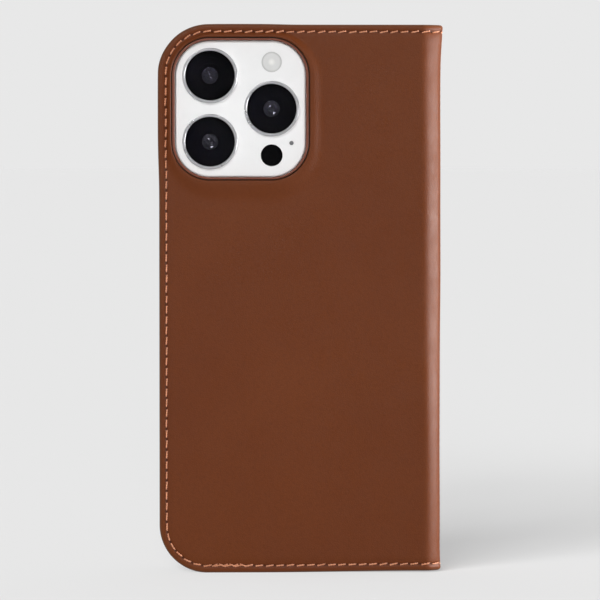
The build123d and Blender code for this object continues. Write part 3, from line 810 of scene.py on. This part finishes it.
def wrap_layer(side, name, top_n, bottom_n, material, window):
    """A plain inner layer, its rim set in from the leather's."""
    rims = (INNER_INSET, INNER_INSET + 0.1, INNER_INSET + 0.3, 2.9), (INNER_INSET, 2.9)
    half = (bottom_n - top_n) / 2

    def outer(u, z):
        return np.full(np.shape(u), top_n) + 0.3 * half * (edge_distance(u, z) < INNER_INSET + 0.05)

    def inner(u, z):
        d = edge_distance(u, z)
        return np.full(np.shape(u), bottom_n) - round_over(np.maximum(d - INNER_INSET, 0), half * 0.8)

    # the ring lists run from the rim inwards, and the inner face is the one that shows
    sheet = wrap_sheet(inner, outer, rims, 1.2, window, 0.9)
    return mesh_object(name, place(sheet.points, side), sheet.faces, material)


LEAD = 0.7  # how far before the rounded part, and after it, the unused crease start and end are set


def bend(obj, side, *nodes):
    """Bakes the piece's transform and hides the nodes it replaces; a crease's start and end are worked out
    but not used.
    """
    start = ((X_SPINE - SPINE_R - LEAD) * MM, (Y_REAR - LEAD) * MM, 0.0)
    end = ((X_SPINE + LEAD) * MM, (Y_REAR + SPINE_R + LEAD) * MM, 0.0)
    if side == "rear":
        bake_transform(obj)
    else:
        start = (start[0], 2 * Y_MID * MM - start[1], 0.0)
        end = (end[0], 2 * Y_MID * MM - end[1], 0.0)
        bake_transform(obj)
    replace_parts(obj, *nodes)
    return obj


LAYER_WINDOW = (0.0, 0.4), (0.0, 0.4)
BOARD_N = LEATHER_T + BOARD_T
for wrap_side in ("rear", "front"):
    hole_rings = LAYER_WINDOW if wrap_side == "rear" else None
    skin = bend(wrap_leather(wrap_side), wrap_side, f"{wrap_side}_leather", "spine_leather")
    board = wrap_layer(wrap_side, f"{wrap_side}_board_layer", LEATHER_T, BOARD_N, BOARD, hole_rings)
    bend(board, wrap_side, f"{wrap_side}_board", "spine_board")
    inner_skin = wrap_layer(wrap_side, f"{wrap_side}_lining_layer", BOARD_N, WRAP_T, LINING, hole_rings)
    bend(inner_skin, wrap_side, f"{wrap_side}_lining", "spine_lining")

    is_rear = wrap_side == "rear"
    seam = lay_stitches(HOLES, seam_at, np.random.default_rng(11 if is_rear else 12))
    if is_rear:
        # the seam is locked with stitches sewn back over it, low on the rear panel
        for a, b in zip(HOLES, HOLES[1:]):
            u_mid, z_mid = seam_at((a + b) / 2)
            if z_mid < SEAM_INSET + 0.1 and LOCK_START < u_mid < LOCK_END:
                seam.append((a - 0.9, b - 1.9, 0.1, 0.75, 0.24))
                seam.append((b - 1.5, b + 0.2, 0.12, -0.7, 0.26))

    def face_at(u, z, rear=is_rear):
        n = seam_groove(edge_distance(u, z)) + SPINE_SINK * smooth((u - FLAT_RUN - 4.0) / 4.0)
        return n - mound(u, z) if rear else n

    thread = thread_object(f"{wrap_side}_thread", seam, face_at, lambda p, s=wrap_side: place(p, s))
    covered = [f"{wrap_side}_stitches"] + (["spine_stitches"] if is_rear else [])
    bend(thread, wrap_side, *covered)


# ---------------------------------------------------------------- wallet pockets
def panel(name, outline, seam_margin, y_face, thickness, body, node):
    """A leather pocket panel facing -Y, its rim rounded, its open edge creased.

    outline is (left, right, low, high, corner radius), rounded at the left corners only.
    """
    left, right, low, high, radius = outline
    sheet = Sheet()
    corner = even(0.0, math.pi / 2, 1.0 / max(radius, 1.0))
    arc = [(math.sin(a), math.cos(a)) for a in corner]
    run = [(left + radius - radius * s, low + radius - radius * c, s, c) for s, c in arc]
    run += [(left, z, 1.0, 0.0) for z in even(low + radius, high - radius, 1.2)[1:-1]]
    run += [(left + radius - radius * c, high - radius + radius * s, c, -s) for s, c in arc]
    run += [(x, high, 0.0, -1.0) for x in even(left + radius, right, 1.2)[1:-1]]
    run.append((right, high, -1.0, -1.0))
    run += [(right, z, -1.0, 0.0) for z in even(high, low, 1.2)[1:-1]]
    run.append((right, low, -1.0, 1.0))
    run += [(x, low, 0.0, 1.0) for x in even(right, left + radius, 1.2)[1:-1]]
    run = np.array(run)

    def inset_of(x, z):
        vertical = np.minimum(z - low, high - z)
        near = np.minimum(np.minimum(x - left, right - x), vertical)
        corner = (x - left < radius) & (vertical < radius)
        return np.where(corner, radius - np.hypot(radius - (x - left), radius - vertical), near)

    def face(x, z):
        d = inset_of(x, z)
        n = round_over(np.maximum(d, 0), thickness * 0.45)
        n = n + 0.09 * np.exp(-(((right - x - 1.3) / 0.28) ** 2))
        sewn = np.minimum(np.minimum(x - left, z - low), high - z)
        n = n + 0.07 * np.exp(-(((sewn - seam_margin / 2) / 0.45) ** 2))
        return n

    inner = []
    for i, x in enumerate(even(left, right, 2.0)):
        for z in even(low, high, 2.0):
            z += 1.0 if i % 2 else 0.0
            if inset_of(np.float64(x), np.float64(z)) > seam_margin / 2 + 1.4:
                inner.append((x, z))
    rims = (0.0, 0.04, 0.12, 0.25, 0.6, 1.02, 1.3, seam_margin / 2 + 0.2, seam_margin / 2 + 0.7)
    back_rims = (0.0, 0.1, rims[-1])
    edges, triangles = [], None
    for side, insets in enumerate((rims, back_rims)):
        rings = []
        for inset in insets:
            x, z = run[:, 0] + run[:, 2] * inset, run[:, 1] + run[:, 3] * inset
            n = face(x, z) if side == 0 else thickness - round_over(np.full(len(x), inset), 0.1)
            rings.append(sheet.add(x, z, n))
        for a, b in zip(rings, rings[1:]):
            sheet.strip(a, b, True)
        x, z = np.array(inner).T
        inside = sheet.add(x, z, face(x, z) if side == 0 else np.full(len(x), thickness))
        if triangles is None:
            triangles = fill([sheet.points[i][:2] for i in rings[-1]], [], inner)
        index = rings[-1] + inside
        sheet.faces += [tuple(index[i] for i in t) for t in triangles]
        edges.append(rings[0])
    sheet.strip(edges[0], edges[1], True)
    x, z, n = np.array(sheet.points).T
    obj = mesh_object(name, np.stack([x, y_face + n, z], 1), sheet.faces, POCKET_LEATHER)
    d = inset_of(x, z)
    tint(obj, "burnish_and_groove_shade", np.clip(0.8 * np.exp(-((d / 0.2) ** 2)), 0, 1))
    tint(obj, "raw_edge", np.zeros(len(x)))
    tint(obj, "needle", np.zeros(len(x)))
    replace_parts(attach(obj, body), node)
    return obj


def node_panel(node, radius, seam_margin):
    low, high = low_high(node)
    outline = (low.x, high.x, low.z, high.z, radius)
    return panel(f"{node}_panel", outline, seam_margin, low.y, high.y - low.y, "front_cover", node)


node_panel("cash_pocket", CASE_R - 0.3, 3.8)
for i in (1, 2, 3):
    node_panel(f"card_pocket_{i}", 3.0, 3.0)


def straight_run(x0, z0, x1, z1):
    length = math.hypot(x1 - x0, z1 - z0)
    along = ((x1 - x0) / length, (z1 - z0) / length)

    def at(s, across):
        return x0 + along[0] * s - along[1] * across, z0 + along[1] * s + along[0] * across

    return at, length


def pocket_threads():
    """Stitches down the far edge of the card pockets and along their two long seams."""
    boxes = [low_high(f"card_pocket_{i}") for i in (1, 2, 3)]
    left, low, high = boxes[0][0].x, boxes[0][0].z, boxes[0][1].z
    edges = [b[1].x for b in boxes]
    faces = [b[0].y for b in boxes]
    seam_in, corner, stop = 1.5, 4.0, edges[-1] - 0.6
    pieces = []

    def surface(x, z):
        return next((f for f, e in zip(faces, edges) if x < e), faces[-1]) + 0.07

    def put(points):
        x, z, y = np.array(points).T
        return np.stack([x, y, z], 1)

    runs = [
        straight_run(left + seam_in, low + corner, left + seam_in, high - corner),
        straight_run(left + corner, low + seam_in, stop, low + seam_in),
        straight_run(left + corner, high - seam_in, stop, high - seam_in),
    ]
    for index, (at, length) in enumerate(runs):
        holes = np.linspace(0, length, round(length / STITCH_PITCH) + 1)
        clear = []
        for stitch in lay_stitches(holes, at, np.random.default_rng(20 + index)):
            xs = at(stitch[0], 0)[0], at(stitch[1], 0)[0]
            if not any(min(xs) - 0.2 < e < max(xs) + 0.2 for e in edges[:-1]):
                clear.append(stitch)
        pieces.append(thread_object(f"pocket_thread_{index + 1}", clear, surface, put, at))
    for piece in pieces:
        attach(piece, "front_cover")
    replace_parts(pieces[0], "pocket_stitches")


pocket_threads()


# ---------------------------------------------------------------- lens elements
def turned(name, node, profile, material):
    """A solid of revolution about the node's own axis. profile is (radius, y) from the axis to the rim."""
    low, high = low_high(node)
    cx, cz = (low.x + high.x) / 2, (low.z + high.z) / 2
    segments = 64
    points, faces = [(cx, profile[0][1], cz)], []
    for radius, y in profile[1:]:
        for k in range(segments):
            a = 2 * math.pi * k / segments
            points.append((cx + radius * math.cos(a), y, cz + radius * math.sin(a)))
    for k in range(segments):
        faces.append((0, 1 + k, 1 + (k + 1) % segments))
    for ring in range(len(profile) - 2):
        a = 1 + ring * segments
        for k in range(segments):
            j = (k + 1) % segments
            faces.append((a + k, a + j, a + segments + j, a + segments + k))
    last = 1 + (len(profile) - 2) * segments
    faces.append(tuple(last + k for k in range(segments)))
    obj = mesh_object(name, points, faces, material, 50)
    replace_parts(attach(obj, "case_back"), node)
    return obj


def lens_element(which, dome_r, dome_curve, dish_r, dish_deg):
    """A small front dome in a dished ring on a flat plate. The dish returns a light's image upside down."""
    node = f"{which}_lens_element"
    low, high = low_high(node)
    rim = (high.x - low.x) / 2
    y, step, profile = low.y + 0.15, 0.05, [(0.0, low.y + 0.15)]
    for k in range(1, round((rim - 0.12) / step) + 1):
        r = k * step
        if r <= dome_r:
            slope = r / dome_curve
        elif r <= dish_r:
            slope = -math.tan(math.radians(dish_deg)) * (dish_r - r) / (dish_r - dome_r)
        else:
            slope = 0.0
        y += slope * step
        profile.append((r, y))
    profile += [(rim - 0.05, y + 0.05), (rim, y + 0.2), (rim, high.y)]
    turned(f"{which}_lens_glass", node, profile, ELEMENT)


lens_element("upper", 0.5, 2.45, 0.95, 25)
lens_element("lower", 1.2, 5.2, 2.1, 25)
lens_element("side", 1.1, 4.7, 2.0, 25)


# ---------------------------------------------------------------- studio
def floor_material():
    made = bpy.data.materials.new("studio_floor")
    made.use_nodes = True
    tree = made.node_tree
    tree.nodes.clear()
    diffuse = tree.nodes.new("ShaderNodeBsdfDiffuse")
    diffuse.inputs["Color"].default_value = (0.2, 0.2, 0.2, 1)
    glow = tree.nodes.new("ShaderNodeEmission")
    glow.inputs["Color"].default_value = (1, 1, 1, 1)
    glow.inputs["Strength"].default_value = FLOOR_GLOW
    path = tree.nodes.new("ShaderNodeLightPath")
    total = tree.nodes.new("ShaderNodeAddShader")
    shown = tree.nodes.new("ShaderNodeMixShader")
    out = tree.nodes.new("ShaderNodeOutputMaterial")
    tree.links.new(diffuse.outputs[0], total.inputs[0])
    tree.links.new(glow.outputs[0], total.inputs[1])
    tree.links.new(path.outputs["Is Camera Ray"], shown.inputs["Fac"])
    tree.links.new(diffuse.outputs[0], shown.inputs[1])
    tree.links.new(total.outputs[0], shown.inputs[2])
    tree.links.new(shown.outputs[0], out.inputs["Surface"])
    return made


BACKDROP = 0.807
FLOOR_GLOW = 0.424
# a long low window, as a row of suns: degrees to the left of the camera's side, and above the floor
WINDOW_SUNS = ((4, 17), (15, 23), (26, 18), (37, 23), (47, 18))
SUN_STRENGTH = 2.8
SUN_SPREAD = 15
# the room's strength as the piece sees it, from the camera's side to behind the piece
ROOM_FRONT, ROOM_BACK = 0.16, 0.85
# each lamp that lights the piece alone: name, place, height aimed at, size, power, spread, and whether it
# lights surfaces and shows in reflections
SOFTBOXES = (
    ("right_box", (0.36, -0.115, 0.09), 0.062, (0.28, 0.11), 2.5, 180, False, True),
    ("side_fill", (0.8, 0.01, 0.06), 0.062, (0.15, 1.1), 28.0, 180, True, False),
    ("grid_key", (-0.34, -1.5, 0.78), 0.055, (0.3, 0.3), 0.4, 36, True, True),
    ("low_fill", (-0.12, -1.7, 0.1), 0.035, (0.3, 0.3), 0.39, 28, True, False),
    ("rear_fill", (-0.35, 1.6, 0.7), 0.062, (0.8, 0.8), 7.0, 180, True, False),
)


def build_studio():
    mesh = bpy.data.meshes.new("floor")
    reach = 60.0
    corners = [(-reach, -reach, 0), (reach, -reach, 0), (reach, reach, 0), (-reach, reach, 0)]
    mesh.from_pydata(corners, [], [(0, 1, 2, 3)])
    mesh.materials.append(floor_material())
    floor = bpy.data.objects.new("floor", mesh)
    bpy.context.scene.collection.objects.link(floor)

    world = bpy.data.worlds.new("studio")
    bpy.context.scene.world = world
    world.use_nodes = True
    tree = world.node_tree
    tree.nodes.clear()
    path = tree.nodes.new("ShaderNodeLightPath")
    direction = tree.nodes.new("ShaderNodeTexCoord")
    parts = tree.nodes.new("ShaderNodeSeparateXYZ")
    ramp = tree.nodes.new("ShaderNodeMapRange")
    ramp.interpolation_type = "SMOOTHSTEP"
    limits = {"From Min": -0.35, "From Max": 0.55, "To Min": ROOM_FRONT, "To Max": ROOM_BACK}
    for key, number in limits.items():
        ramp.inputs[key].default_value = number
    room = tree.nodes.new("ShaderNodeBackground")
    seen = tree.nodes.new("ShaderNodeBackground")
    seen.inputs["Color"].default_value = (BACKDROP, BACKDROP, BACKDROP, 1)
    mixed = tree.nodes.new("ShaderNodeMixShader")
    out = tree.nodes.new("ShaderNodeOutputWorld")
    tree.links.new(direction.outputs["Generated"], parts.inputs[0])
    tree.links.new(parts.outputs["Y"], ramp.inputs["Value"])
    tree.links.new(ramp.outputs["Result"], room.inputs["Strength"])
    tree.links.new(path.outputs["Is Camera Ray"], mixed.inputs["Fac"])
    tree.links.new(room.outputs[0], mixed.inputs[1])
    tree.links.new(seen.outputs[0], mixed.inputs[2])
    tree.links.new(mixed.outputs[0], out.inputs["Surface"])

    floor_only = bpy.data.collections.new("floor_only")
    floor_only.objects.link(floor)
    piece_only = bpy.data.collections.new("piece_only")
    for obj in bpy.context.scene.collection.all_objects:
        if obj.type == "MESH" and obj is not floor:
            piece_only.objects.link(obj)

    def lamp(name, kind, towards, receivers, energy):
        light = bpy.data.lights.new(name, kind)
        light.energy = energy
        made = bpy.data.objects.new(name, light)
        made.rotation_mode = "QUATERNION"
        made.rotation_quaternion = Vector(towards).to_track_quat("Z", "Y")
        made.visible_camera = False
        bpy.context.scene.collection.objects.link(made)
        made.light_linking.receiver_collection = receivers
        return made

    for index, (left, above) in enumerate(WINDOW_SUNS):
        a, b = math.radians(left), math.radians(above)
        towards = (-math.sin(a) * math.cos(b), -math.cos(a) * math.cos(b), math.sin(b))
        sun = lamp(f"window_{index + 1}", "SUN", towards, floor_only, SUN_STRENGTH)
        sun.data.angle = math.radians(SUN_SPREAD)
    for name, place_at, aim, size, energy, spread, lights, glossy in SOFTBOXES:
        box = lamp(name, "AREA", Vector(place_at) - Vector((-0.004, 0, aim)), piece_only, energy)
        box.data.shape = "RECTANGLE"
        box.data.size, box.data.size_y = size
        box.data.spread = math.radians(spread)
        box.location = place_at
        box.visible_diffuse = lights
        box.visible_glossy = glossy
        box.visible_transmission = glossy


def build_camera():
    distance, azimuth = 1.12, math.radians(-1.0)
    eye_height, image_mm = 0.127, 184.75
    data = bpy.data.cameras.new("camera")
    data.sensor_width = 36.0
    data.lens = 36.0 * distance / (image_mm * MM)
    camera = bpy.data.objects.new("camera", data)
    target = Vector((0.00005, Y_REAR * MM, 0.0843))
    away = Vector((math.sin(azimuth), -math.cos(azimuth), 0)) * distance
    camera.location = Vector((target.x, target.y, eye_height)) + away
    camera.rotation_mode = "QUATERNION"
    camera.rotation_quaternion = (camera.location - target).to_track_quat("Z", "Y")
    data.clip_start, data.clip_end = 0.05, 200.0
    bpy.context.scene.collection.objects.link(camera)
    bpy.context.scene.camera = camera


bpy.context.scene.view_settings.view_transform = "Standard"
build_studio()
build_camera()
